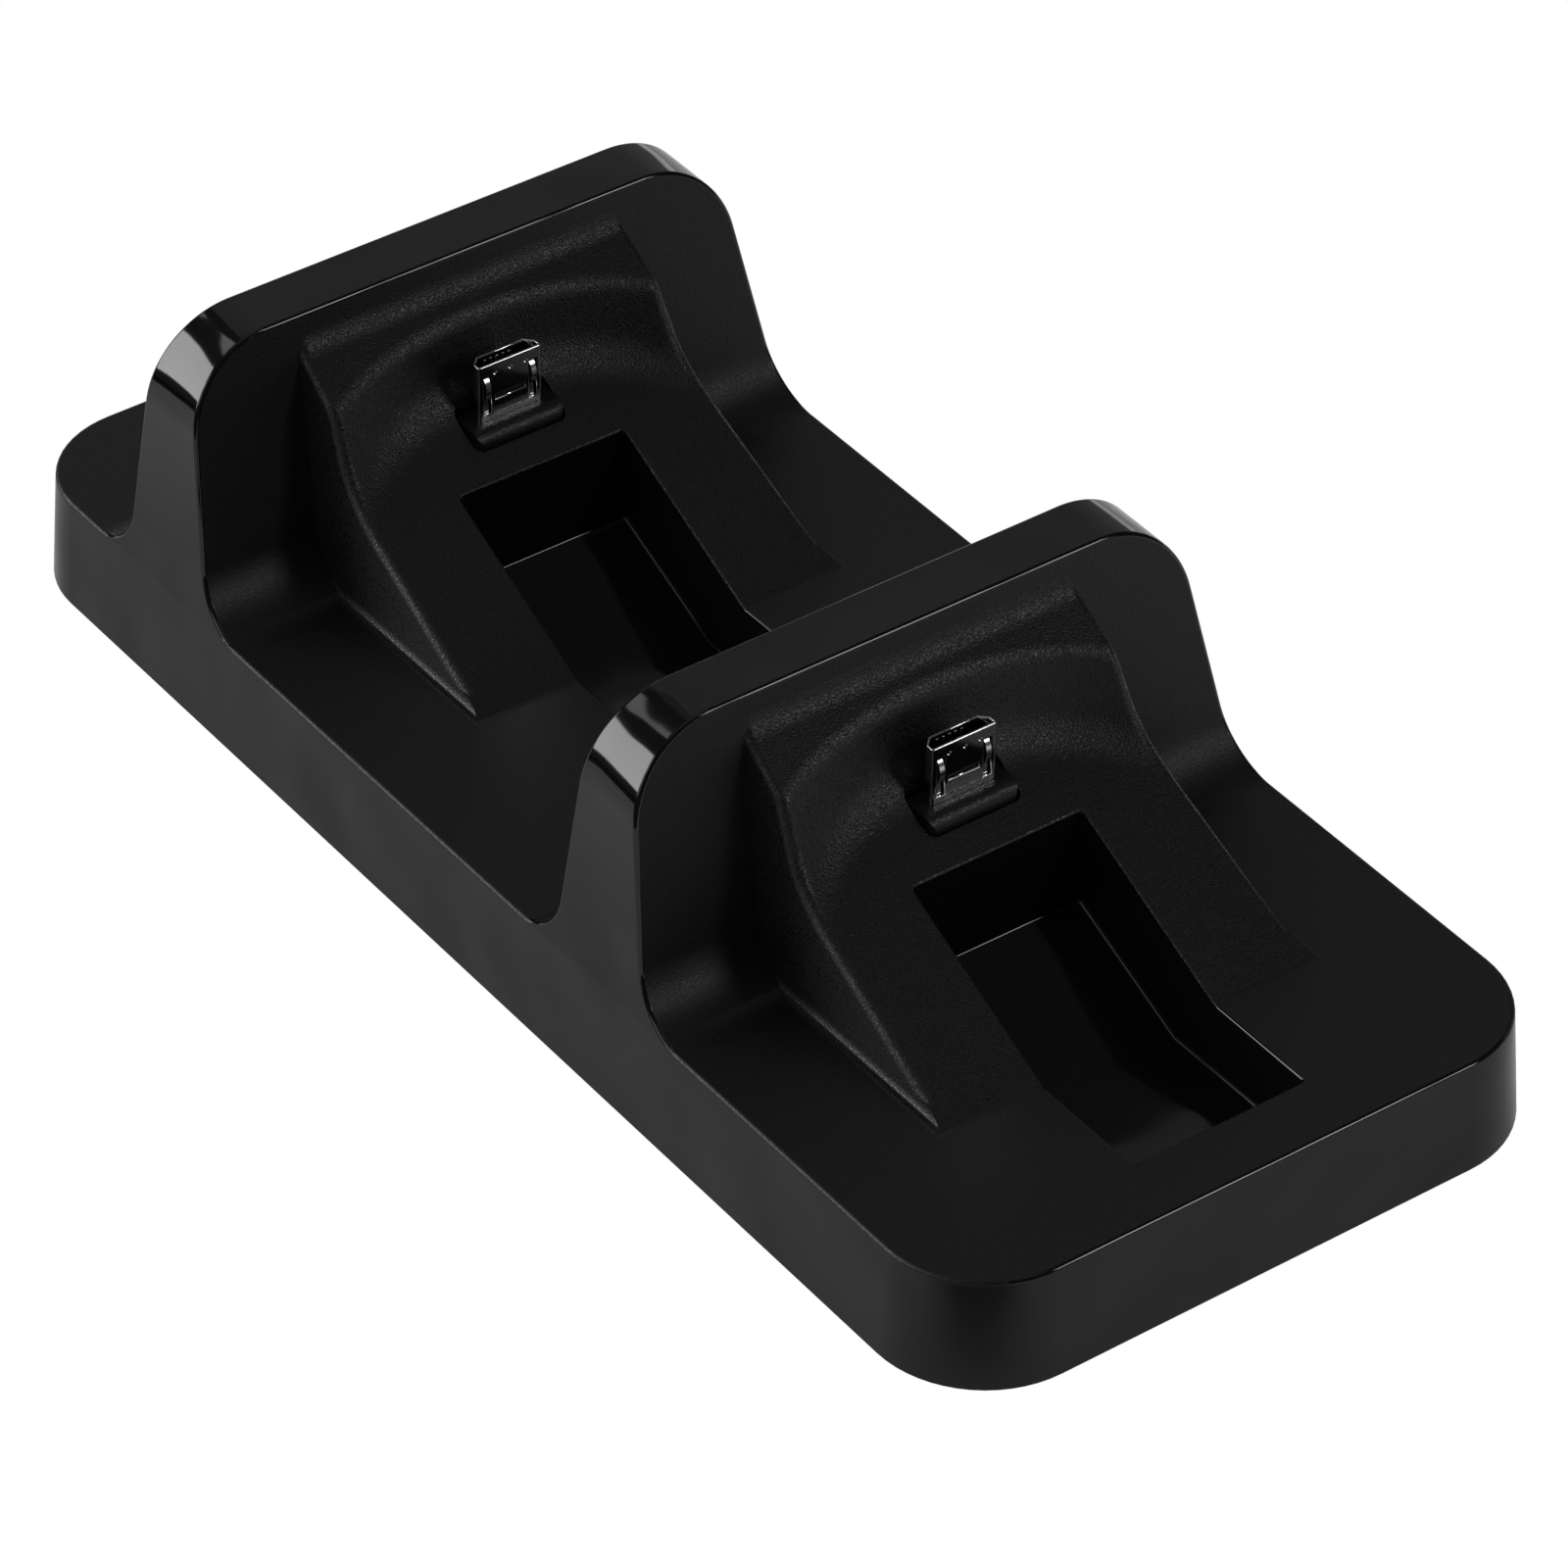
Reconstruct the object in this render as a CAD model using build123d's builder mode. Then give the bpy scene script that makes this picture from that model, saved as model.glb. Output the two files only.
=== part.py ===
from build123d import *
import os
from math import cos, radians, sin, sqrt, tan

os.makedirs("parts", exist_ok=True)

# Frame: X runs across the dock, Y along it with the front end at minus Y, Z up.
# The origin is at the middle of the footprint, on the surface that the feet rest on.
# Sizes are in mm. Inside a station, v is the distance behind the plug's middle.

# Base
base_length = 145.0
base_width = 63.2
base_height = 11.0
base_corner = 10.0
base_draft = 4.0
wall = 2.0
rim_round = 0.4
root = 1.0
edge_near = 0.1
edge_across = 0.5
edge_steep = 0.3

# Rubber feet
foot_radius = 4.0
foot_thick = 1.5
foot_show = 0.8
foot_inset_x = 12.0
foot_inset_y = 16.0
foot_round = 0.3
foot_gap = 0.1

# The two stations, each a tower with a cradle and a plug
front_margin = 42.85
rear_margin = 34.25
tower_rise = 24.6
tower_top_depth = 6.1
tower_top_setback = 7.4
tower_front_lean = 13.5
tower_back_lean = 3.0
tower_side_lean = 7.7
tower_corner = 9.0
tower_front_flare = 6.5
tower_back_flare = 5.0
flare_strip = 1.1

# Cradle that stands out of the tower's front face
cradle_foot = 24.45
cradle_slope = 25.6
cradle_half_width = 19.3
cradle_draft = 4.8
cradle_crest_slope = 32.5
cradle_crest_drop = 3.2
cradle_overlap = 2.6
crest_reach = 5.5
scoop_half_width = 22.0
scoop_low_rise = 8.5
scoop_low_reach = 2.1
scoop_low_radius = 29.3
scoop_high_rise = 25.0
scoop_high_reach = 5.05
scoop_high_radius = 300.0
scoop_base_round = 7.0
scoop_crest_round = 2.8
crest_blend = 3.4
crest_blend_lap = 0.4
cradle_edge = 0.9
skirt_flare = 1.4
skirt_side_flare = 1.1
skirt_rise = 1.2

# Pocket in front of the plug
pocket_width = 17.9
pocket_back = 5.7
pocket_front = 36.3
pocket_shelf_edge = 19.4
pocket_shelf_depth = 7.0
pocket_back_depth = 0.85
pocket_corner = 0.4
pocket_wall = 1.6
pocket_rim = 0.3
pocket_crease = 0.25

# Plug holder, a moulded block whose collar comes up through the cradle
collar_width = 9.4
collar_front = 2.7
collar_back = 1.3
collar_rise = 11.85
collar_corner = 0.7
collar_front_round = 1.2
collar_gap = 0.25
collar_cut = 8.0
holder_rise = 5.0
holder_width = 28.0
holder_depth = 7.2
holder_corner = 1.0
holder_thick = 2.4
holder_boss_height = 5.0
holder_screw_x = 11.0
holder_screw_v = 0.5
rail_width = 2.4
rail_lap = 0.8
rail_depth = 3.4
rail_length = 6.0

# Plug shell, bent from thin sheet
plug_width = 6.85
plug_narrow = 5.1
plug_thick = 1.8
plug_round = 0.3
plug_wall = 0.25
plug_reach = 6.0
plug_fit = 0.03
latch_spacing = 4.9
latch_width = 0.5
latch_slot_width = 0.8
latch_slot_length = 4.0
latch_slot_drop = 1.3
latch_thick = 0.2
latch_channel = 0.3
latch_play = 0.1
latch_foot = 1.0
latch_tip_drop = 1.5
latch_bow_height = 2.6
latch_bow_reach = 0.22
dimple_spacing = 1.65
dimple_radius = 0.25
dimple_drop = 1.0
dimple_depth = 0.1
window_width = 3.2
window_height = 0.5
window_drop = 3.7

# Plug insulator and contacts
tongue_thick = 0.6
tongue_short = 0.8
tongue_block_height = 6.3
contact_count = 5
contact_pitch = 0.65
contact_width = 0.36
contact_thick = 0.15
contact_short = 0.2
contact_drop = 0.7
contact_tail = 1.2
contact_play = 0.03

# Printed boards
board_thick = 1.0
plug_board_width = 14.0
plug_board_foot = 4.0
board_gap = 0.1
main_board_width = 40.0
main_board_length = 18.0
main_board_inset = 3.0
main_board_height = 4.2
board_screw_inset_x = 4.0
board_screw_inset_y = 3.0

# Parts on the main board
chip_width = 5.0
chip_length = 4.0
chip_height = 1.5
chip_x = 7.0
chip_setback = 2.5
capacitor_radius = 2.0
capacitor_height = 3.0
capacitor_x = 8.5
capacitor_setback = 4.0
resistor_width = 1.25
resistor_length = 2.0
resistor_height = 0.6
resistor_x = 1.8
resistor_row = 3.2
can_round = 0.2
board_corner = 1.0

# Charging inlet at the back
inlet_width = 7.8
inlet_height = 2.8
inlet_depth = 5.6
inlet_wall = 0.3
inlet_round = 0.9
inlet_clearance = 0.35
inlet_recess = 0.3
inlet_tongue_width = 4.0
inlet_tongue_thick = 0.7
inlet_tongue_reach = 3.4
inlet_block_depth = 1.5
inlet_bend = 0.5
inlet_tail = 0.9

# Leads between the boards
lead_radius = 0.65
lead_spacing = 2.6
lead_lane = 17.0
lead_bend = 4.5
lead_run = 6.0
rear_lead_spacing = 6.0

# Bottom cover
cover_thick = 1.8
cover_gap = 0.15
cover_rib_height = 0.9
cover_rib_thick = 1.2
cover_rib_x = 13.5
cover_rib_inset = 13.5
cover_cross_rib_length = 40.0
cover_cross_rib_v = 7.0

# Screws
screw_radius = 1.0
screw_head_radius = 1.9
screw_head_height = 1.2
screw_gap = 0.1
recess_width = 0.5
recess_length = 2.2
recess_depth = 0.6
boss_radius = 2.6
cover_boss_radius = 3.2
cover_screw_length = 5.0
board_screw_length = 3.5
holder_screw_length = 4.4
cover_boss_inset_x = 6.4
cover_boss_inset_y = 9.0

# Levels and lines that follow from the sizes above
shell_z = foot_show
deck_z = shell_z + base_height
tower_top_z = deck_z + tower_rise
front_y = front_margin - base_length / 2
rear_y = base_length / 2 - rear_margin
station_ys = (front_y, rear_y)
stations = [(0, y, 0) for y in station_ys]
station_names = ("front", "rear")
foot_spread = base_height * tan(radians(base_draft))
tower_back_top = tower_top_setback + tower_top_depth
tower_front_foot = tower_top_setback - tower_rise * tan(radians(tower_front_lean))
tower_back_foot = tower_back_top + tower_rise * tan(radians(tower_back_lean))
crest_z = tower_top_z - cradle_crest_drop
crest_v = tower_top_setback - cradle_crest_drop * tan(radians(tower_front_lean))
crest_turn = radians(90 - tower_front_lean - cradle_crest_slope)
crest_blend_reach = crest_blend * tan(crest_turn / 2)
cradle_end = tower_top_setback + cradle_overlap
cover_top_z = shell_z + cover_thick
holder_z = deck_z + holder_rise
holder_top_z = holder_z + holder_thick
collar_top_z = deck_z + collar_rise
collar_depth = collar_front + collar_back
collar_v = (collar_back - collar_front) / 2
plug_top_z = collar_top_z + plug_reach
board_z = shell_z + main_board_height
board_top_z = board_z + board_thick
plug_board_z = shell_z + plug_board_foot
plug_board_v = plug_thick / 2 + board_gap / 2
lead_z = board_z + board_thick / 2
inner_spread = 2 * (foot_spread - wall)
inlet_z = board_top_z + inlet_height / 2
inlet_mouth_y = base_length / 2 - inlet_recess
inlet_back_y = inlet_mouth_y - inlet_depth
main_board_y = base_length / 2 - main_board_inset - main_board_length / 2
main_board_front_y = main_board_y - main_board_length / 2
board_screw_x = main_board_width / 2 - board_screw_inset_x
board_screw_y = main_board_length / 2 - board_screw_inset_y
contact_xs = [(i - (contact_count - 1) / 2) * contact_pitch for i in range(contact_count)]


def slope_z(v):
    """Height of the cradle's slope at the distance v behind the plug."""
    return deck_z + (cradle_foot + v) * tan(radians(cradle_slope))


def crest_slope_z(v):
    """Height of the cradle's crest at the distance v behind the plug."""
    return crest_z + (v - crest_v) * tan(radians(cradle_crest_slope))


def tower_face_v(z):
    """Distance behind the plug of the tower's front face at the height z."""
    return tower_front_foot + (z - deck_z) * tan(radians(tower_front_lean))


def tower_block(inset):
    """Tower with plain feet, its faces moved inwards by the inset."""
    low = deck_z - inset - root
    half_foot = base_width / 2 - inset
    half_top = half_foot - tower_rise * tan(radians(tower_side_lean))
    corner = tower_corner - inset
    flares = ((tower_front_foot, -1, tower_front_flare), (tower_back_foot, 1, tower_back_flare))
    with BuildPart() as block:
        with BuildSketch(Plane.YZ) as side_view:
            with BuildLine():
                Polyline(
                    (tower_front_foot + inset, low),
                    (tower_front_foot + inset, deck_z),
                    (tower_top_setback + inset, tower_top_z - inset),
                    (tower_back_top - inset, tower_top_z - inset),
                    (tower_back_foot - inset, deck_z),
                    (tower_back_foot - inset, low),
                    close=True,
                )
            make_face()
            if inset == 0:
                for foot, outward, flare in flares:
                    strip = flare_strip * flare
                    with Locations((foot + outward * strip / 2, deck_z - root / 2)):
                        Rectangle(strip, root)
                    fillet(side_view.vertices().sort_by_distance((foot, deck_z))[0], radius=flare)
        extrude(amount=base_width, both=True)
        with BuildSketch(Plane.XZ) as front_view:
            with BuildLine():
                Polyline(
                    (-half_foot, low),
                    (-half_foot, deck_z),
                    (-half_top, tower_top_z - inset),
                    (half_top, tower_top_z - inset),
                    (half_foot, deck_z),
                    (half_foot, low),
                    close=True,
                )
            make_face()
            fillet(front_view.vertices().group_by(Axis.Y)[-1], radius=corner)
        extrude(amount=base_length, both=True, mode=Mode.INTERSECT)
    return block.part


def scoop_block(inset):
    """Space that the controller's rounded back takes up, grown by the inset."""
    low_drop = inset / cos(radians(cradle_slope))
    levels = (
        (scoop_low_rise - low_drop, scoop_low_reach + inset, scoop_low_radius + inset),
        (scoop_high_rise, scoop_high_reach + inset, scoop_high_radius + inset),
    )
    with BuildPart() as block:
        for rise, reach, radius in levels:
            side_v = reach - radius + sqrt(radius**2 - scoop_half_width**2)
            with BuildSketch(Plane.XY.offset(deck_z + rise)):
                with BuildLine():
                    ThreePointArc((-scoop_half_width, side_v), (0, reach), (scoop_half_width, side_v))
                    Polyline(
                        (scoop_half_width, side_v),
                        (scoop_half_width, -cradle_foot),
                        (-scoop_half_width, -cradle_foot),
                        (-scoop_half_width, side_v),
                    )
                make_face()
        loft()
    return block.part


def cradle_front(inset):
    """Outline of the cradle seen from the front, moved inwards by the inset."""
    low = deck_z - inset - root
    half_foot = cradle_half_width - inset
    half_top = half_foot - tower_rise * tan(radians(cradle_draft))
    with BuildSketch(Plane.XZ) as outline:
        with BuildLine():
            Polyline(
                (-half_foot, low),
                (-half_foot, deck_z),
                (-half_top, tower_top_z),
                (half_top, tower_top_z),
                (half_foot, deck_z),
                (half_foot, low),
                close=True,
            )
        make_face()
    return outline.sketch


def cradle_block(inset):
    """Cradle with plain edges: a scooped crest on a slope, its faces moved inwards by the inset."""
    slope_drop = inset / cos(radians(cradle_slope))
    crest_drop = inset / cos(radians(cradle_crest_slope))
    low = deck_z - inset - root
    scoop = scoop_block(inset)
    front = cradle_front(inset)
    with BuildPart() as block:
        with BuildSketch(Plane.YZ):
            with BuildLine():
                Polyline(
                    (-crest_reach, low),
                    (-crest_reach, crest_slope_z(-crest_reach) - crest_drop),
                    (cradle_end, crest_slope_z(cradle_end) - crest_drop),
                    (cradle_end, low),
                    close=True,
                )
            make_face()
        extrude(amount=base_width / 2, both=True)
        add(scoop, mode=Mode.SUBTRACT)
        with BuildSketch(Plane.YZ):
            with BuildLine():
                Polyline(
                    (-cradle_foot, low),
                    (-cradle_foot, deck_z - slope_drop),
                    (cradle_end, slope_z(cradle_end) - slope_drop),
                    (cradle_end, low),
                    close=True,
                )
            make_face()
        extrude(amount=base_width / 2, both=True)
        extrude(front, amount=base_length, both=True, mode=Mode.INTERSECT)
    return block.part


def pocket_block(margin):
    """Stepped space of the pocket, grown by the margin on every side but the top."""
    shelf_z = deck_z - pocket_shelf_depth - margin
    back_z = deck_z - pocket_back_depth - margin
    length = pocket_front - pocket_back + 2 * margin
    with BuildPart() as block:
        with BuildSketch(Plane.YZ):
            with BuildLine():
                Polyline(
                    (-pocket_front - margin, tower_top_z),
                    (-pocket_front - margin, shelf_z),
                    (-pocket_shelf_edge, shelf_z),
                    (-pocket_back + margin, back_z),
                    (-pocket_back + margin, tower_top_z),
                    close=True,
                )
            make_face()
        extrude(amount=base_width / 2, both=True)
        with BuildSketch(Plane.XY.offset(shell_z)):
            with Locations((0, -(pocket_front + pocket_back) / 2)):
                RectangleRounded(pocket_width + 2 * margin, length, pocket_corner + margin)
        extrude(amount=tower_top_z, mode=Mode.INTERSECT)
        if margin == 0:
            floor_edges = block.edges().filter_by(
                lambda e: e.center().Z < deck_z and abs(e.center().Y + pocket_shelf_edge) > edge_near
            )
            fillet(floor_edges, radius=pocket_crease)
    return block.part


def screw_set(places, head_z, length):
    """Pan head screws with cross recesses, heads down, their shanks going up from head_z."""
    with BuildPart() as screws:
        with BuildSketch(Plane.XY.offset(head_z - screw_head_height)):
            with Locations(*places):
                Circle(screw_head_radius)
        extrude(amount=screw_head_height)
        with BuildSketch(Plane.XY.offset(head_z)):
            with Locations(*places):
                Circle(screw_radius)
        extrude(amount=length)
        with BuildSketch(Plane.XY.offset(head_z - screw_head_height)):
            with Locations(*places):
                Rectangle(recess_length, recess_width)
                Rectangle(recess_width, recess_length)
        extrude(amount=recess_depth, mode=Mode.SUBTRACT)
    return screws.part


cover_boss_x = base_width / 2 - cover_boss_inset_x
cover_boss_y = base_length / 2 - cover_boss_inset_y
cover_screw_places = [(x, y) for x in (-cover_boss_x, cover_boss_x) for y in (-cover_boss_y, 0, cover_boss_y)]
board_screw_places = [
    (x, main_board_y + y) for x in (-board_screw_x, board_screw_x) for y in (-board_screw_y, board_screw_y)
]
holder_screw_places = [(x, y + holder_screw_v) for y in station_ys for x in (-holder_screw_x, holder_screw_x)]
cover_head_z = shell_z + screw_head_height
foot_x = base_width / 2 - foot_inset_x
foot_y = base_length / 2 - foot_inset_y
foot_places = {
    "front_left": (-foot_x, -foot_y),
    "front_right": (foot_x, -foot_y),
    "back_left": (-foot_x, foot_y),
    "back_right": (foot_x, foot_y),
}

# Tray: a low rounded box whose walls draw in towards the deck
with BuildPart() as tray_form:
    with BuildSketch(Plane.XY.offset(shell_z)):
        RectangleRounded(base_width + 2 * foot_spread, base_length + 2 * foot_spread, base_corner + foot_spread)
    extrude(amount=base_height, taper=base_draft)

# Outer cradle: blended at the foot of the scooped wall, over the crest, up to the tower's face
# and along the side edges
blend_low_v = crest_v - crest_blend_reach * cos(radians(cradle_crest_slope))
blend_high_z = crest_z + crest_blend_reach * cos(radians(tower_front_lean))
blend_end_z = blend_high_z + crest_blend_lap
with BuildPart() as cradle_form:
    add(cradle_block(0))
    curved = cradle_form.edges().filter_by(GeomType.BSPLINE).filter_by(lambda e: e.length > cradle_half_width)
    fillet(curved.sort_by(Axis.Z)[0], radius=scoop_base_round)
    crest_edges = cradle_form.edges().filter_by(
        lambda e: e.length > cradle_half_width and e.center().Z > crest_slope_z(0) and e.center().Y < crest_v
    )
    fillet(crest_edges.sort_by(Axis.Y)[0], radius=scoop_crest_round)
    with BuildSketch(Plane.YZ):
        with BuildLine():
            Polyline(
                (blend_low_v, crest_slope_z(blend_low_v)),
                (cradle_end, crest_slope_z(blend_low_v) - root),
                (cradle_end, blend_end_z),
                (tower_face_v(blend_end_z), blend_end_z),
                (tower_face_v(blend_high_z), blend_high_z),
            )
            TangentArc(
                (tower_face_v(blend_high_z), blend_high_z),
                (blend_low_v, crest_slope_z(blend_low_v)),
                tangent=(-sin(radians(tower_front_lean)), -cos(radians(tower_front_lean))),
            )
        make_face()
    extrude(amount=cradle_half_width, both=True)
    extrude(cradle_front(0), amount=base_length, both=True, mode=Mode.INTERSECT)
    side_edges = cradle_form.edges().filter_by(
        lambda e: abs(e.center().X) > pocket_width / 2
        and deck_z < e.center().Z < blend_end_z - edge_near
        and e.center().Y < cradle_end - rim_round
        and abs(e.tangent_at(0.5).X) < edge_across
    )
    fillet(side_edges, radius=cradle_edge)

# Skirt: the cradle's flared foot on the deck
with BuildPart() as skirt_form:
    strip = flare_strip * skirt_flare
    skirt_half_top = cradle_half_width - skirt_rise * tan(radians(cradle_draft))
    with BuildSketch(Plane.XZ) as skirt_view:
        with BuildLine():
            Polyline(
                (-cradle_half_width - strip, deck_z - root),
                (-cradle_half_width - strip, deck_z),
                (-cradle_half_width, deck_z),
                (-skirt_half_top, deck_z + skirt_rise),
                (skirt_half_top, deck_z + skirt_rise),
                (cradle_half_width, deck_z),
                (cradle_half_width + strip, deck_z),
                (cradle_half_width + strip, deck_z - root),
                close=True,
            )
        make_face()
        for side in (-1, 1):
            foot_vertex = skirt_view.vertices().sort_by_distance((side * cradle_half_width, deck_z))[0]
            fillet(foot_vertex, radius=skirt_side_flare)
    extrude(amount=base_length, both=True)
    with BuildSketch(Plane.YZ) as skirt_side:
        with BuildLine():
            Polyline(
                (-cradle_foot - strip, deck_z - root),
                (-cradle_foot - strip, deck_z),
                (-cradle_foot, deck_z),
                (0, slope_z(0)),
                (0, deck_z - root),
                close=True,
            )
        make_face()
        fillet(skirt_side.vertices().sort_by_distance((-cradle_foot, deck_z))[0], radius=skirt_flare)
    extrude(amount=base_width, both=True, mode=Mode.INTERSECT)

# Hollow inside, with the pocket walls and the screw bosses left standing in it
with BuildPart() as hollow_form:
    with BuildSketch(Plane.XY.offset(shell_z)):
        RectangleRounded(base_width + inner_spread, base_length + inner_spread, base_corner + inner_spread / 2)
    extrude(amount=base_height - wall, taper=base_draft)
    with Locations(*stations):
        add(tower_block(wall))
        add(cradle_block(wall))
        add(pocket_block(pocket_wall), mode=Mode.SUBTRACT)
    with BuildSketch(Plane.XY.offset(cover_top_z)):
        with Locations(*cover_screw_places):
            Circle(cover_boss_radius)
    extrude(amount=base_height, mode=Mode.SUBTRACT)
    with BuildSketch(Plane.XY.offset(board_top_z)):
        with Locations(*board_screw_places):
            Circle(boss_radius)
    extrude(amount=base_height, mode=Mode.SUBTRACT)
    with BuildSketch(Plane.XY.offset(holder_top_z)):
        with Locations(*holder_screw_places):
            Circle(boss_radius)
    extrude(amount=holder_boss_height, mode=Mode.SUBTRACT)


def on_rim(edge):
    """True for the edges between the glossy sides and the matt deck and tower faces."""
    middle = edge.center()
    if abs(middle.Z - deck_z) < edge_near:
        at_end = edge.geom_type == GeomType.CIRCLE or abs(abs(middle.Y) - base_length / 2) < edge_near
        tower_middle = (tower_front_foot + tower_back_foot) / 2
        clear = all(abs(middle.Y - y - tower_middle) > wall for y in station_ys)
        return at_end or (abs(abs(middle.X) - base_width / 2) < edge_near and clear)
    if abs(middle.Z - tower_top_z) < edge_near:
        return edge.length > tower_corner
    outside = abs(middle.X) > cradle_half_width + tower_back_flare
    if middle.Z < deck_z + rim_round or not outside or abs(edge.tangent_at(0.5).Z) < edge_steep:
        return False
    front_v = tower_face_v(middle.Z)
    back_v = tower_back_foot - (middle.Z - deck_z) * tan(radians(tower_back_lean))
    on_face = any(abs(middle.Y - y - v) < edge_near for y in station_ys for v in (front_v, back_v))
    return on_face or edge.geom_type != GeomType.LINE


def on_pocket_rim(edge):
    """True for the edges around the two pockets' openings in the deck and the slopes."""
    middle = edge.center()
    v_end = pocket_back - edge_near
    in_length = any(v_end < y - middle.Y < pocket_front + edge_near for y in station_ys)
    in_width = abs(middle.X) < pocket_width / 2 + edge_near
    if not in_length or not in_width or middle.Z < deck_z - edge_near:
        return False
    return abs(edge.tangent_at(0.5).Z) < edge_across


# Upper housing
with BuildPart() as upper_housing:
    add(tray_form.part)
    with Locations(*stations):
        add(tower_block(0))
        add(cradle_form.part)
        add(skirt_form.part)
    fillet(upper_housing.edges().filter_by(on_rim), radius=rim_round)
    add(hollow_form.part, mode=Mode.SUBTRACT)
    with Locations(*stations):
        add(pocket_block(0), mode=Mode.SUBTRACT)
    fillet(upper_housing.edges().filter_by(on_pocket_rim), radius=pocket_rim)
    with BuildSketch(Plane.XY.offset(holder_top_z)):
        with Locations(*[(0, y + collar_v) for y in station_ys]):
            RectangleRounded(
                collar_width + 2 * collar_gap, collar_depth + 2 * collar_gap, collar_corner + collar_gap
            )
    extrude(amount=collar_cut, mode=Mode.SUBTRACT)
    with BuildSketch(Plane.XY.offset(cover_top_z)):
        with Locations(*cover_screw_places):
            Circle(screw_radius + screw_gap)
    extrude(amount=cover_screw_length, mode=Mode.SUBTRACT)
    with BuildSketch(Plane.XY.offset(board_top_z)):
        with Locations(*board_screw_places):
            Circle(screw_radius + screw_gap)
    extrude(amount=board_screw_length - board_thick + screw_gap, mode=Mode.SUBTRACT)
    with BuildSketch(Plane.XY.offset(holder_top_z)):
        with Locations(*holder_screw_places):
            Circle(screw_radius + screw_gap)
    extrude(amount=holder_screw_length - holder_thick + screw_gap, mode=Mode.SUBTRACT)
    with BuildSketch(Plane.XZ.offset(-base_length / 2 + 2 * wall)):
        with Locations((0, inlet_z)):
            RectangleRounded(
                inlet_width + 2 * inlet_clearance,
                inlet_height + 2 * inlet_clearance,
                inlet_round + inlet_clearance,
            )
    extrude(amount=-3 * wall, mode=Mode.SUBTRACT)
upper_housing.part.label = "upper_housing"
export_step(upper_housing.part, "parts/upper_housing.step")


def plug_outline(margin):
    """Outline of the plug seen from above, wide in front and drawn in at the back."""
    with BuildSketch() as outline:
        with BuildLine():
            Polyline(
                (-plug_width / 2, -plug_thick / 2),
                (plug_width / 2, -plug_thick / 2),
                (plug_width / 2, 0),
                (plug_narrow / 2, plug_thick / 2),
                (-plug_narrow / 2, plug_thick / 2),
                (-plug_width / 2, 0),
                close=True,
            )
        make_face()
        fillet(outline.vertices(), radius=plug_round)
        if margin != 0:
            offset(amount=margin)
    return outline.sketch


# Plug holder: a plate under the slope, the collar above it and two rails below it
plug_board_middle_v = plug_board_v + board_thick / 2
rail_x = plug_board_width / 2 + rail_width / 2 - rail_lap
with BuildPart() as collar_form:
    with BuildSketch(Plane.XY.offset(holder_top_z)):
        with Locations((0, collar_v)):
            RectangleRounded(collar_width, collar_depth, collar_corner)
    extrude(amount=collar_top_z - holder_top_z)
    with BuildSketch(Plane.YZ) as collar_side:
        with Locations((collar_v, (holder_top_z + collar_top_z) / 2)):
            Rectangle(collar_depth, collar_top_z - holder_top_z)
        front_top = collar_side.vertices().sort_by_distance((-collar_front, collar_top_z))[0]
        fillet(front_top, radius=collar_front_round)
    extrude(amount=collar_width, both=True, mode=Mode.INTERSECT)
with BuildPart() as holder_form:
    with BuildSketch(Plane.XY.offset(holder_z)):
        RectangleRounded(holder_width, holder_depth, holder_corner)
    extrude(amount=holder_thick)
    add(collar_form.part)
    with BuildSketch(Plane.XY.offset(holder_z)):
        with Locations((-rail_x, plug_board_middle_v), (rail_x, plug_board_middle_v)):
            Rectangle(rail_width, rail_depth)
    extrude(amount=-rail_length)
    with BuildSketch(Plane.XY.offset(holder_z)):
        with Locations((0, plug_board_middle_v)):
            Rectangle(plug_board_width + 2 * board_gap, board_thick + 2 * board_gap)
    extrude(amount=-rail_length, mode=Mode.SUBTRACT)
    with BuildSketch(Plane.XY.offset(holder_z)):
        add(plug_outline(plug_fit))
        with Locations((-holder_screw_x, holder_screw_v), (holder_screw_x, holder_screw_v)):
            Circle(screw_radius + screw_gap)
    extrude(amount=collar_top_z - holder_z, mode=Mode.SUBTRACT)

# Plug shell with its latch slots, window and dimples in the wide front face
plug_front_v = -plug_thick / 2
slot_middle_z = plug_top_z - latch_slot_drop - latch_slot_length / 2
with BuildPart() as shell_form:
    with BuildSketch(Plane.XY.offset(holder_z)):
        add(plug_outline(0))
        add(plug_outline(-plug_wall), mode=Mode.SUBTRACT)
    extrude(amount=plug_top_z - holder_z)
    with BuildSketch(Plane.XZ.offset(-plug_front_v)):
        with Locations((-latch_spacing / 2, slot_middle_z), (latch_spacing / 2, slot_middle_z)):
            Rectangle(latch_slot_width, latch_slot_length)
        with Locations((0, plug_top_z - window_drop)):
            Rectangle(window_width, window_height)
    extrude(amount=-2 * plug_wall, mode=Mode.SUBTRACT)
    with BuildSketch(Plane.XZ.offset(-plug_front_v)):
        with Locations(*[(x, plug_top_z - dimple_drop) for x in (-dimple_spacing, 0, dimple_spacing)]):
            Circle(dimple_radius)
    extrude(amount=-dimple_depth, mode=Mode.SUBTRACT)

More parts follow.
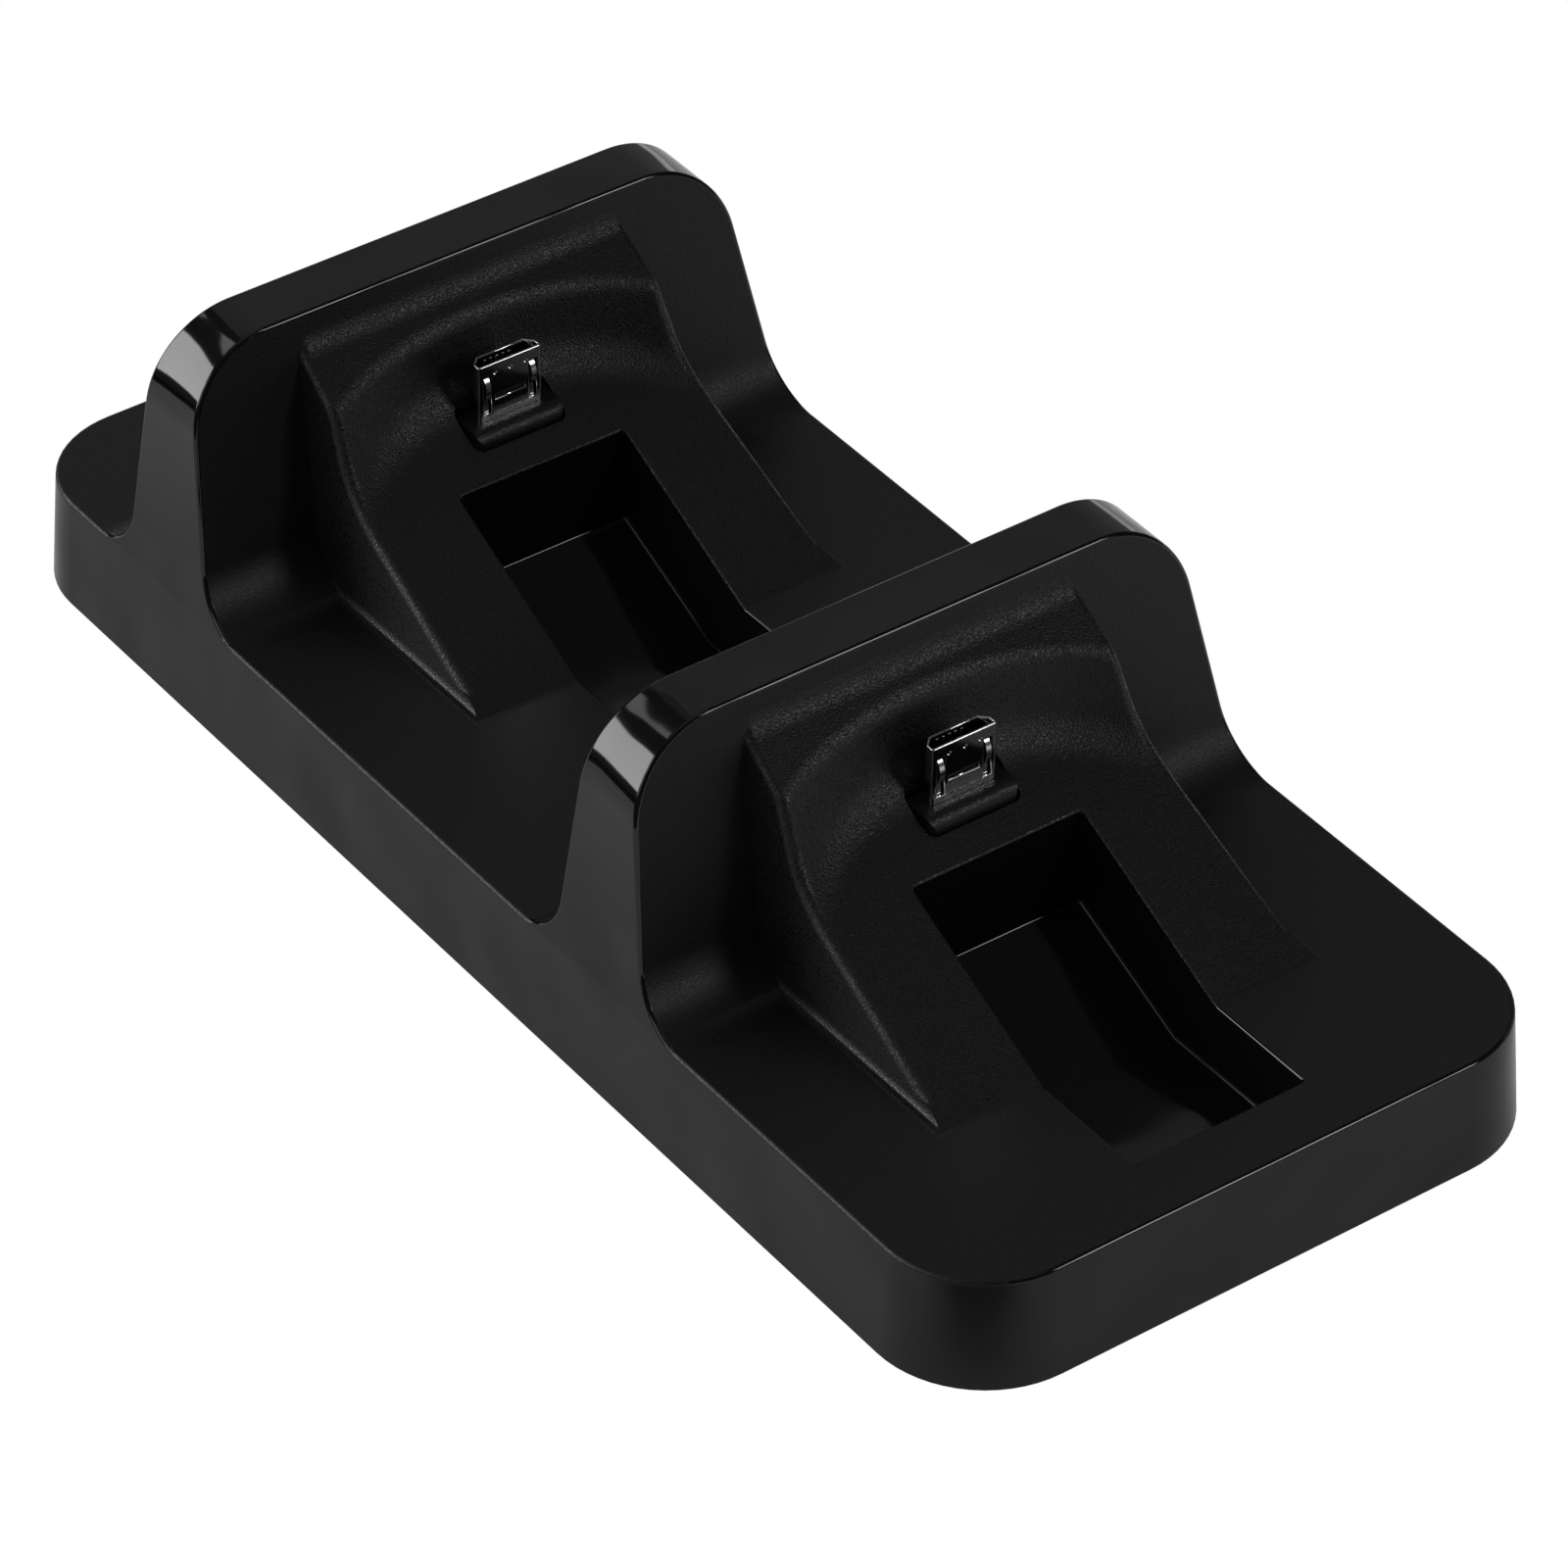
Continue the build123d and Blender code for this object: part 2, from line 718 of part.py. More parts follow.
# Spring latches behind the front face: leaves bowed out through the slots
latch_front_v = plug_front_v + plug_wall + plug_fit
latch_back_v = latch_front_v + latch_thick
bow_v = plug_front_v - latch_bow_reach
latch_foot_z = holder_z + latch_foot
latch_tip_z = plug_top_z - latch_tip_drop
bow_low_z = latch_tip_z - latch_bow_height
bow_middle_z = latch_tip_z - latch_bow_height / 2
with BuildPart() as latch_form:
    with BuildSketch(Plane.YZ):
        with BuildLine():
            Polyline(
                (latch_back_v, bow_low_z),
                (latch_back_v, latch_foot_z),
                (latch_front_v, latch_foot_z),
                (latch_front_v, bow_low_z),
            )
            ThreePointArc((latch_front_v, bow_low_z), (bow_v, bow_middle_z), (latch_front_v, latch_tip_z))
            Line((latch_front_v, latch_tip_z), (latch_back_v, latch_tip_z))
            ThreePointArc(
                (latch_back_v, latch_tip_z), (bow_v + latch_thick, bow_middle_z), (latch_back_v, bow_low_z)
            )
        make_face()
    extrude(amount=latch_width / 2, both=True)

# Plug insulator: a block at the root and a tongue behind the front face, with channels
tongue_v = latch_front_v + tongue_thick
tongue_margin = -plug_wall - plug_fit
with BuildPart() as tongue_form:
    with BuildSketch(Plane.XY.offset(holder_z)):
        add(plug_outline(tongue_margin))
    extrude(amount=tongue_block_height)
    with BuildSketch(Plane.XY.offset(holder_z)):
        add(plug_outline(tongue_margin))
        with Locations((0, tongue_v + plug_thick / 2)):
            Rectangle(plug_width, plug_thick, mode=Mode.SUBTRACT)
    extrude(amount=plug_top_z - tongue_short - holder_z)
    with BuildSketch(Plane.XY.offset(latch_foot_z - latch_play)):
        with Locations((-latch_spacing / 2, latch_front_v), (latch_spacing / 2, latch_front_v)):
            Rectangle(latch_width + 2 * latch_play, 2 * latch_channel)
    extrude(amount=plug_top_z - latch_foot_z, mode=Mode.SUBTRACT)
    with BuildSketch(Plane.XY.offset(holder_z)):
        channel_depth = contact_thick + contact_play
        with Locations(*[(x, tongue_v + channel_depth / 2) for x in contact_xs]):
            Rectangle(contact_width + 2 * contact_play, channel_depth)
    extrude(amount=tongue_block_height, mode=Mode.SUBTRACT)

# Plug contact: up the tongue's inner face, its tail bent down the plug board's face
jog_z = holder_z - contact_drop
with BuildPart() as contact_form:
    with BuildSketch(Plane.YZ):
        with BuildLine():
            Polyline(
                (tongue_v, plug_top_z - tongue_short - contact_short),
                (tongue_v + contact_thick, plug_top_z - tongue_short - contact_short),
                (tongue_v + contact_thick, jog_z + contact_thick),
                (plug_board_v, jog_z + contact_thick),
                (plug_board_v, jog_z - contact_tail),
                (plug_board_v - contact_thick, jog_z - contact_tail),
                (plug_board_v - contact_thick, jog_z),
                (tongue_v, jog_z),
                close=True,
            )
        make_face()
    extrude(amount=contact_width / 2, both=True)

# Upright board between the rails
with BuildPart() as plug_board_form:
    with BuildSketch(Plane.XY.offset(plug_board_z)):
        with Locations((0, plug_board_middle_v)):
            Rectangle(plug_board_width, board_thick)
    extrude(amount=holder_z - board_gap - plug_board_z)

for name, y in zip(station_names, station_ys):
    with BuildPart() as plug_holder:
        with Locations((0, y, 0)):
            add(holder_form.part)
    plug_holder.part.label = f"plug_holder_{name}"
    export_step(plug_holder.part, f"parts/plug_holder_{name}.step")

    with BuildPart() as plug_shell:
        with Locations((0, y, 0)):
            add(shell_form.part)
    plug_shell.part.label = f"plug_shell_{name}"
    export_step(plug_shell.part, f"parts/plug_shell_{name}.step")

    with BuildPart() as plug_latches:
        with Locations((-latch_spacing / 2, y, 0), (latch_spacing / 2, y, 0)):
            add(latch_form.part)
    plug_latches.part.label = f"plug_latches_{name}"
    export_step(plug_latches.part, f"parts/plug_latches_{name}.step")

    with BuildPart() as plug_tongue:
        with Locations((0, y, 0)):
            add(tongue_form.part)
    plug_tongue.part.label = f"plug_tongue_{name}"
    export_step(plug_tongue.part, f"parts/plug_tongue_{name}.step")

    with BuildPart() as plug_contacts:
        with Locations(*[(x, y, 0) for x in contact_xs]):
            add(contact_form.part)
    plug_contacts.part.label = f"plug_contacts_{name}"
    export_step(plug_contacts.part, f"parts/plug_contacts_{name}.step")

    with BuildPart() as plug_board:
        with Locations((0, y, 0)):
            add(plug_board_form.part)
    plug_board.part.label = f"plug_board_{name}"
    export_step(plug_board.part, f"parts/plug_board_{name}.step")

# Main board
with BuildPart() as main_board:
    with BuildSketch(Plane.XY.offset(board_z)):
        with Locations((0, main_board_y)):
            RectangleRounded(main_board_width, main_board_length, board_corner)
        with Locations(*board_screw_places):
            Circle(screw_radius + screw_gap, mode=Mode.SUBTRACT)
    extrude(amount=board_thick)
main_board.part.label = "main_board"
export_step(main_board.part, "parts/main_board.step")

chip_y = main_board_y - chip_setback
with BuildPart() as charge_chips:
    with BuildSketch(Plane.XY.offset(board_top_z)):
        with Locations((-chip_x, chip_y), (chip_x, chip_y)):
            Rectangle(chip_width, chip_length)
    extrude(amount=chip_height)
charge_chips.part.label = "charge_chips"
export_step(charge_chips.part, "parts/charge_chips.step")

capacitor_y = main_board_y + capacitor_setback
with BuildPart() as capacitors:
    with BuildSketch(Plane.XY.offset(board_top_z)):
        with Locations((-capacitor_x, capacitor_y), (capacitor_x, capacitor_y)):
            Circle(capacitor_radius)
    extrude(amount=capacitor_height)
    fillet(capacitors.edges().group_by(Axis.Z)[-1], radius=can_round)
capacitors.part.label = "capacitors"
export_step(capacitors.part, "parts/capacitors.step")

with BuildPart() as resistors:
    with BuildSketch(Plane.XY.offset(board_top_z)):
        with Locations((0, chip_y)):
            with GridLocations(2 * resistor_x, resistor_row, 2, 2):
                Rectangle(resistor_width, resistor_length)
    extrude(amount=resistor_height)
resistors.part.label = "resistors"
export_step(resistors.part, "parts/resistors.step")

# Charging inlet: sleeve, insulator and strips
inner_width = inlet_width - 2 * inlet_wall
inner_height = inlet_height - 2 * inlet_wall
with BuildPart() as inlet_shell:
    with BuildSketch(Plane.XZ.offset(-inlet_mouth_y)):
        with Locations((0, inlet_z)):
            RectangleRounded(inlet_width, inlet_height, inlet_round)
            RectangleRounded(inner_width, inner_height, inlet_round - inlet_wall, mode=Mode.SUBTRACT)
    extrude(amount=inlet_depth)
inlet_shell.part.label = "inlet_shell"
export_step(inlet_shell.part, "parts/inlet_shell.step")

strip_top_z = inlet_z - inlet_tongue_thick / 2
strip_bottom_z = strip_top_z - contact_thick
inlet_block_y = inlet_back_y + inlet_block_depth
with BuildPart() as inlet_tongue:
    with BuildSketch(Plane.XZ.offset(-inlet_block_y)):
        with Locations((0, inlet_z)):
            RectangleRounded(inner_width - 2 * plug_fit, inner_height - 2 * plug_fit, inlet_round - inlet_wall)
    extrude(amount=inlet_block_depth)
    with BuildSketch(Plane.XZ.offset(-inlet_block_y)):
        with Locations((0, inlet_z)):
            Rectangle(inlet_tongue_width, inlet_tongue_thick)
    extrude(amount=-inlet_tongue_reach)
    with BuildSketch(Plane.XZ.offset(-inlet_block_y)):
        with Locations(*[(x, strip_top_z - (contact_thick + contact_play) / 2) for x in contact_xs]):
            Rectangle(contact_width + 2 * contact_play, contact_thick + contact_play)
    extrude(amount=inlet_block_depth, mode=Mode.SUBTRACT)
inlet_tongue.part.label = "inlet_tongue"
export_step(inlet_tongue.part, "parts/inlet_tongue.step")

strip_front_y = inlet_block_y + inlet_tongue_reach - contact_short
strip_bend_y = inlet_back_y - inlet_bend
with BuildPart() as inlet_strip_form:
    with BuildSketch(Plane.YZ):
        with BuildLine():
            Polyline(
                (strip_front_y, strip_top_z),
                (strip_bend_y, strip_top_z),
                (strip_bend_y, board_top_z + contact_thick),
                (strip_bend_y - inlet_tail, board_top_z + contact_thick),
                (strip_bend_y - inlet_tail, board_top_z),
                (strip_bend_y + contact_thick, board_top_z),
                (strip_bend_y + contact_thick, strip_bottom_z),
                (strip_front_y, strip_bottom_z),
                close=True,
            )
        make_face()
    extrude(amount=contact_width / 2, both=True)
with BuildPart() as inlet_contacts:
    with Locations(*[(x, 0, 0) for x in contact_xs]):
        add(inlet_strip_form.part)
inlet_contacts.part.label = "inlet_contacts"
export_step(inlet_contacts.part, "parts/inlet_contacts.step")

# Leads: the front pair runs down the left side of the tray, the rear pair straight back
lead_start = plug_board_v + board_thick
front_lead_y = station_ys[0] + lead_start
rear_lead_y = station_ys[1] + lead_start
for name, shift in (("power", 0), ("return", lead_spacing)):
    start_x = shift - lead_spacing / 2
    with BuildPart() as lead:
        with BuildLine(Plane.XY.offset(lead_z)) as lead_path:
            FilletPolyline(
                (start_x, front_lead_y),
                (start_x, front_lead_y + lead_run + shift),
                (shift - lead_lane, front_lead_y + lead_run + shift),
                (shift - lead_lane, main_board_front_y),
                radius=lead_bend,
            )
        with BuildSketch(Plane.XZ.offset(-front_lead_y)):
            with Locations((start_x, lead_z)):
                Circle(lead_radius)
        sweep(path=lead_path.line)
    lead.part.label = f"{name}_lead_front"
    export_step(lead.part, f"parts/{name}_lead_front.step")

for name, x in (("power", -rear_lead_spacing / 2), ("return", rear_lead_spacing / 2)):
    with BuildPart() as straight_lead:
        with BuildSketch(Plane.XZ.offset(-rear_lead_y)):
            with Locations((x, lead_z)):
                Circle(lead_radius)
        extrude(amount=rear_lead_y - main_board_front_y)
    straight_lead.part.label = f"{name}_lead_rear"
    export_step(straight_lead.part, f"parts/{name}_lead_rear.step")

# Bottom cover, inside the lower rim
with BuildPart() as bottom_cover:
    cover_spread = inner_spread - 2 * cover_gap
    with BuildSketch(Plane.XY.offset(shell_z)):
        RectangleRounded(base_width + cover_spread, base_length + cover_spread, base_corner + cover_spread / 2)
    extrude(amount=cover_thick, taper=base_draft)
    with BuildSketch(Plane.XY.offset(cover_top_z)):
        with Locations((-cover_rib_x, 0), (cover_rib_x, 0)):
            Rectangle(cover_rib_thick, base_length - 2 * cover_rib_inset)
        with Locations(*[(0, y + cover_cross_rib_v) for y in station_ys]):
            Rectangle(cover_cross_rib_length, cover_rib_thick)
    extrude(amount=cover_rib_height)
    with BuildSketch(Plane.XY.offset(shell_z)):
        with Locations(*cover_screw_places):
            Circle(screw_head_radius + screw_gap)
    extrude(amount=screw_head_height, mode=Mode.SUBTRACT)
    with BuildSketch(Plane.XY.offset(shell_z)):
        with Locations(*cover_screw_places):
            Circle(screw_radius + screw_gap)
    extrude(amount=cover_thick, mode=Mode.SUBTRACT)
    with BuildSketch(Plane.XY.offset(shell_z)):
        with Locations(*foot_places.values()):
            Circle(foot_radius + foot_gap)
    extrude(amount=foot_thick - foot_show, mode=Mode.SUBTRACT)
bottom_cover.part.label = "bottom_cover"
export_step(bottom_cover.part, "parts/bottom_cover.step")

for name, place in foot_places.items():
    with BuildPart() as rubber_foot:
        with BuildSketch():
            with Locations(place):
                Circle(foot_radius)
        extrude(amount=foot_thick)
        fillet(rubber_foot.edges().group_by(Axis.Z)[0], radius=foot_round)
    rubber_foot.part.label = f"rubber_foot_{name}"
    export_step(rubber_foot.part, f"parts/rubber_foot_{name}.step")

# Screws
holder_screws = screw_set(holder_screw_places, holder_z, holder_screw_length)
holder_screws.label = "holder_screws"
export_step(holder_screws, "parts/holder_screws.step")

board_screws = screw_set(board_screw_places, board_z, board_screw_length)
board_screws.label = "board_screws"
export_step(board_screws, "parts/board_screws.step")

cover_screws = screw_set(cover_screw_places, cover_head_z, cover_screw_length)
cover_screws.label = "cover_screws"
export_step(cover_screws, "parts/cover_screws.step")
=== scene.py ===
import math

import bmesh
import bpy
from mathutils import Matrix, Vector


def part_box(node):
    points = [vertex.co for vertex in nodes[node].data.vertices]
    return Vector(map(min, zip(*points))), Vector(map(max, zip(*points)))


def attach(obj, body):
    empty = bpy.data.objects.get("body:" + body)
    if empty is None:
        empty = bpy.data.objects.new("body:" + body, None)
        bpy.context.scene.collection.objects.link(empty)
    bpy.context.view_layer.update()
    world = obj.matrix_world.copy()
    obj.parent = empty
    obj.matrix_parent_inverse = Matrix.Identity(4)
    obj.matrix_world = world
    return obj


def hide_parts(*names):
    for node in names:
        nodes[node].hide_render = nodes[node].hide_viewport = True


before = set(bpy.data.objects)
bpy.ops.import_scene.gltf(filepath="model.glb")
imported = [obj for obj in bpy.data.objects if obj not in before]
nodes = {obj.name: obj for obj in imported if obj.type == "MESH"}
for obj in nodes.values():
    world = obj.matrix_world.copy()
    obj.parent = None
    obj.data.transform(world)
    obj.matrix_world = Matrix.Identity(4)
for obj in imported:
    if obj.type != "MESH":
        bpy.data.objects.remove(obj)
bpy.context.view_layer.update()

mm = 0.001
noiseLow, noiseHigh = 0.3, 0.7  # nearly all values of a noise texture lie between these


# Linear RGBA, by the sRGB curve, from a hex code such as #1a1a1a
def linearColour(code):
    parts = [int(code[i:i + 2], 16) / 255 for i in (1, 3, 5)]
    return [p / 12.92 if p <= 0.04045 else ((p + 0.055) / 1.055) ** 2.4 for p in parts] + [1.0]


# Adds a node with its settings, its sockets' values and its links; a socket goes by name or number
def addNode(tree, kind, settings=None, values=None, links=None):
    made = tree.nodes.new(kind)
    for name, value in (settings or {}).items():
        setattr(made, name, value)
    for socket, value in (values or {}).items():
        made.inputs[socket].default_value = value
    for socket, output in (links or {}).items():
        tree.links.new(output, made.inputs[socket])
    return made


# A material with these values on its shader; returned with its tree and the shader
def newMaterial(name, values):
    material = bpy.data.materials.new(name)
    material.use_nodes = True
    tree = material.node_tree
    shader = tree.nodes["Principled BSDF"]
    for socket, value in values.items():
        shader.inputs[socket].default_value = value
    return material, tree, shader


# Polished moulded ABS of the sides, tower tops and pockets: deep black with clear reflections, whose
# borders wander a little where the thick walls have sunk
def polishedPlastic(name, colour, sinkDepth):
    look = {"roughLow": 0.05, "roughHigh": 0.1, "haze": 14 * mm, "sink": 7 * mm}
    material, tree, shader = newMaterial(name, {"Base Color": linearColour(colour), "IOR": 1.5})
    place = addNode(tree, "ShaderNodeTexCoord")
    haze = addNode(
        tree,
        "ShaderNodeTexNoise",
        values={"Scale": 1 / look["haze"], "Detail": 4.0},
        links={"Vector": place.outputs["Object"]},
    )
    shine = addNode(
        tree,
        "ShaderNodeMapRange",
        values={
            "From Min": noiseLow,
            "From Max": noiseHigh,
            "To Min": look["roughLow"],
            "To Max": look["roughHigh"],
        },
        links={"Value": haze.outputs["Fac"]},
    )
    sink = addNode(
        tree,
        "ShaderNodeTexNoise",
        values={"Scale": 1 / look["sink"], "Detail": 0.0},
        links={"Vector": place.outputs["Object"]},
    )
    dips = addNode(
        tree,
        "ShaderNodeBump",
        values={"Distance": sinkDepth, "Strength": 1.0},
        links={"Height": sink.outputs["Fac"]},
    )
    tree.links.new(shine.outputs["Result"], shader.inputs["Roughness"])
    tree.links.new(dips.outputs["Normal"], shader.inputs["Normal"])
    return material


# Spark-eroded ABS: a dark grey sheen broken by fine grain. A mould gives grain of about 0.05 mm,
# too fine to show in the render, so it is drawn up to four times as coarse.
# In a look, level is the strength of the sheen
def texturedPlastic(name, colour, look):
    material, tree, shader = newMaterial(
        name,
        {"Base Color": linearColour(colour), "IOR": 1.5, "Specular IOR Level": look["level"]},
    )
    place = addNode(tree, "ShaderNodeTexCoord")
    grain = addNode(
        tree,
        "ShaderNodeTexNoise",
        values={"Scale": 1 / look["grain"], "Detail": 1.0},
        links={"Vector": place.outputs["Object"]},
    )
    matt = addNode(
        tree,
        "ShaderNodeMapRange",
        values={
            "From Min": noiseLow,
            "From Max": noiseHigh,
            "To Min": look["rough"] - look["uneven"],
            "To Max": look["rough"] + look["uneven"],
        },
        links={"Value": grain.outputs["Fac"]},
    )
    pits = addNode(
        tree,
        "ShaderNodeBump",
        values={"Distance": look["height"], "Strength": 1.0},
        links={"Height": grain.outputs["Fac"]},
    )
    tree.links.new(matt.outputs["Result"], shader.inputs["Roughness"])
    tree.links.new(pits.outputs["Normal"], shader.inputs["Normal"])
    return material


# Nickel plated steel sheet, bent: bright edges and dark mirror faces, a little clouded
def platedSteel():
    look = {"colour": "#d6d7d9", "roughLow": 0.05, "roughHigh": 0.11, "cloud": 0.3 * mm}
    material, tree, shader = newMaterial(
        "nickel plated steel",
        {"Base Color": linearColour(look["colour"]), "Metallic": 1.0},
    )
    place = addNode(tree, "ShaderNodeTexCoord")
    cloud = addNode(
        tree,
        "ShaderNodeTexNoise",
        values={"Scale": 1 / look["cloud"], "Detail": 3.0},
        links={"Vector": place.outputs["Object"]},
    )
    shine = addNode(
        tree,
        "ShaderNodeMapRange",
        values={
            "From Min": noiseLow,
            "From Max": noiseHigh,
            "To Min": look["roughLow"],
            "To Max": look["roughHigh"],
        },
        links={"Value": cloud.outputs["Fac"]},
    )
    tree.links.new(shine.outputs["Result"], shader.inputs["Roughness"])
    return material


# The plain finishes of small and inner pieces: one tone with a faint unevenness, which is much
# shallower on the plugs' smooth metal
def plainFinish(name, colour, roughness, metallic=0.0, unevenDepth=0.006 * mm):
    look = {"uneven": 0.25 * mm}
    material, tree, shader = newMaterial(
        name,
        {"Base Color": linearColour(colour), "Metallic": metallic, "Roughness": roughness},
    )
    place = addNode(tree, "ShaderNodeTexCoord")
    uneven = addNode(
        tree,
        "ShaderNodeTexNoise",
        values={"Scale": 1 / look["uneven"], "Detail": 2.0},
        links={"Vector": place.outputs["Object"]},
    )
    pits = addNode(
        tree,
        "ShaderNodeBump",
        values={"Distance": unevenDepth, "Strength": 1.0},
        links={"Height": uneven.outputs["Fac"]},
    )
    tree.links.new(pits.outputs["Normal"], shader.inputs["Normal"])
    return material


# A new piece from a CAD node's mesh: triangles joined, flat stretches made whole again
def mergedCopy(node, name):
    settings = {"joined": 0.0005 * mm, "flat": 0.06}  # flat: degrees between faces
    mesh = nodes[node].data.copy()
    mesh.name = name
    piece = bpy.data.objects.new(name, mesh)
    bpy.context.scene.collection.objects.link(piece)
    if "custom_normal" in mesh.attributes:
        mesh.attributes.remove(mesh.attributes["custom_normal"])
    form = bmesh.new()
    form.from_mesh(mesh)
    bmesh.ops.remove_doubles(form, verts=form.verts, dist=settings["joined"])
    bmesh.ops.dissolve_degenerate(form, edges=form.edges, dist=settings["joined"])
    bmesh.ops.dissolve_limit(
        form,
        angle_limit=math.radians(settings["flat"]),
        verts=form.verts,
        edges=form.edges,
    )
    form.to_mesh(mesh)
    form.free()
    mesh.materials.clear()
    return piece


# Smooth shading over soft edges, led by the larger faces
def smoothPiece(piece, sharpAngle):
    mesh = piece.data
    mesh.shade_smooth()
    mesh.set_sharp_from_angle(angle=math.radians(sharpAngle))
    weighted = piece.modifiers.new("weighted normals", "WEIGHTED_NORMAL")
    weighted.keep_sharp = True
    weighted.mode = "FACE_AREA"
    weighted.weight = 100  # the most that large faces can lead


# A merged copy of a node with its longer edges and its mouth rolled over, in place of the node
def softened(node, edge, material):
    settings = {
        "joined": 0.02 * mm,  # closer corners become one
        "shortest": 0.28 * mm,  # shorter edges stay sharp, apart from the mouth's
        "mouth": 0.02 * mm,  # depth below the top that counts as the mouth
        "sharp": 35,  # degrees, as the next
        "smoothBelow": 46,
        "segments": 3,
    }
    piece = mergedCopy(node, node + "_rolled")
    mesh = piece.data
    form = bmesh.new()
    form.from_mesh(mesh)
    bmesh.ops.remove_doubles(form, verts=form.verts, dist=settings["joined"])
    top = max(v.co.z for v in form.verts)
    weight = form.edges.layers.float.new("bevel_weight_edge")
    for line in form.edges:
        isSharp = len(line.link_faces) == 2 and line.calc_face_angle() > math.radians(settings["sharp"])
        atMouth = all(v.co.z > top - settings["mouth"] for v in line.verts)
        if isSharp and (atMouth or line.calc_length() > settings["shortest"]):
            line[weight] = 1.0
    form.to_mesh(mesh)
    form.free()
    rolled = piece.modifiers.new("rolled edges", "BEVEL")
    rolled.width = edge
    rolled.segments = settings["segments"]
    rolled.limit_method = "WEIGHT"
    rolled.use_clamp_overlap = False  # the shell's tiny corner edges would clamp it to nothing
    smoothPiece(piece, settings["smoothBelow"])
    mesh.materials.append(material)
    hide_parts(node)
    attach(piece, "root")


# Housing: the moulding's surface again, merged and shaded, with its polished and textured areas
def makeHousing():
    settings = {
        "deckHeight": 11.0 * mm,  # above the lower rim
        "endDraft": 0.77 * mm,  # how far an end wall draws in up to the deck
        "cradleHalfWidth": 20.9 * mm,
        "pocketHalfWidth": 8.95 * mm,
        "sideStrip": 25 * mm,  # rims further out than this run along the deck's sides
        "cradleFront": 26.2 * mm,  # forwards from the plug, and the next three too
        "cradleBack": -8.0 * mm,
        "pocketFront": 36.3 * mm,
        "pocketBack": 5.7 * mm,
        "rim": 0.42 * mm,  # depth of the rounded rims
        "slack": 0.03 * mm,  # allowed when a place is compared
        "acrossLean": 0.03,  # a face that leans less than this sideways runs straight across
        "levelLean": 0.99,  # a face whose normal is more upright than this is level
        "smoothBelow": 46,  # degrees
        "colour": "#0b0b0c",
        # The pockets' colour is lighter than the rest of the moulding's: painted light in their recesses
        "pocketPaintedLightColour": "#121213",
        "wallSink": 0.3 * mm,  # how far the thick walls have sunk
        "pocketSink": 0.07 * mm,
        "fineGrain": {"grain": 0.2 * mm, "height": 0.03 * mm, "rough": 0.49, "uneven": 0.06, "level": 0.42},
        "coarseGrain": {"grain": 0.2 * mm, "height": 0.062 * mm, "rough": 0.47, "uneven": 0.2, "level": 0.49},
    }
    housingLow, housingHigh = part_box("upper_housing")
    deckZ = housingLow.z + settings["deckHeight"]
    endY = (housingHigh.y - housingLow.y) / 2 - settings["endDraft"]
    stationYs = []
    for station in ("front", "rear"):
        plugLow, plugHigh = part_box(f"plug_shell_{station}")
        stationYs.append((plugLow.y + plugHigh.y) / 2)
    piece = mergedCopy("upper_housing", "housing")
    mesh = piece.data
    for made in (
        polishedPlastic("polished moulded ABS", settings["colour"], settings["wallSink"]),
        texturedPlastic("spark textured ABS", settings["colour"], settings["fineGrain"]),
        texturedPlastic("coarse spark textured ABS", settings["colour"], settings["coarseGrain"]),
        polishedPlastic("polished pocket ABS with painted light", settings["pocketPaintedLightColour"], settings["pocketSink"]),
    ):
        mesh.materials.append(made)
    polished, textured, coarse, pocket = range(4)
    slack = settings["slack"]
    rim = settings["rim"] + slack
    for face in mesh.polygons:
        corners = [mesh.vertices[i].co for i in face.vertices]
        reachX = max(abs(c.x) for c in corners)
        lowZ = min(c.z for c in corners)
        endRim = min(abs(c.y) for c in corners) > endY - rim
        towerRim = lowZ > housingHigh.z - rim
        acrossOnly = abs(face.normal.x) < settings["acrossLean"]
        inPocket = inCradle = False
        for stationY in stationYs:
            near = min(stationY - c.y for c in corners)
            far = max(stationY - c.y for c in corners)
            if reachX < settings["pocketHalfWidth"] + slack:
                inPocket |= near > settings["pocketBack"] - slack and far < settings["pocketFront"] + slack
            if reachX < settings["cradleHalfWidth"] and lowZ > deckZ - slack:
                inCradle |= near > settings["cradleBack"] and far < settings["cradleFront"]
        onDeck = abs(lowZ - deckZ) < slack and face.normal.z > settings["levelLean"]
        sideRim = lowZ < deckZ and min(abs(c.x) for c in corners) > settings["sideStrip"]
        if onDeck:
            choice = textured
        elif inPocket:
            choice = pocket
        elif lowZ < deckZ - rim:
            choice = polished
        elif inCradle and not towerRim:
            choice = coarse
        elif acrossOnly and not towerRim and not endRim:
            choice = textured
        elif sideRim and not endRim:
            choice = textured
        else:
            choice = polished
        face.material_index = choice
    smoothPiece(piece, settings["smoothBelow"])
    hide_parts("upper_housing")
    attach(piece, "root")
    print("housing made:", len(mesh.polygons), "faces")


makeHousing()


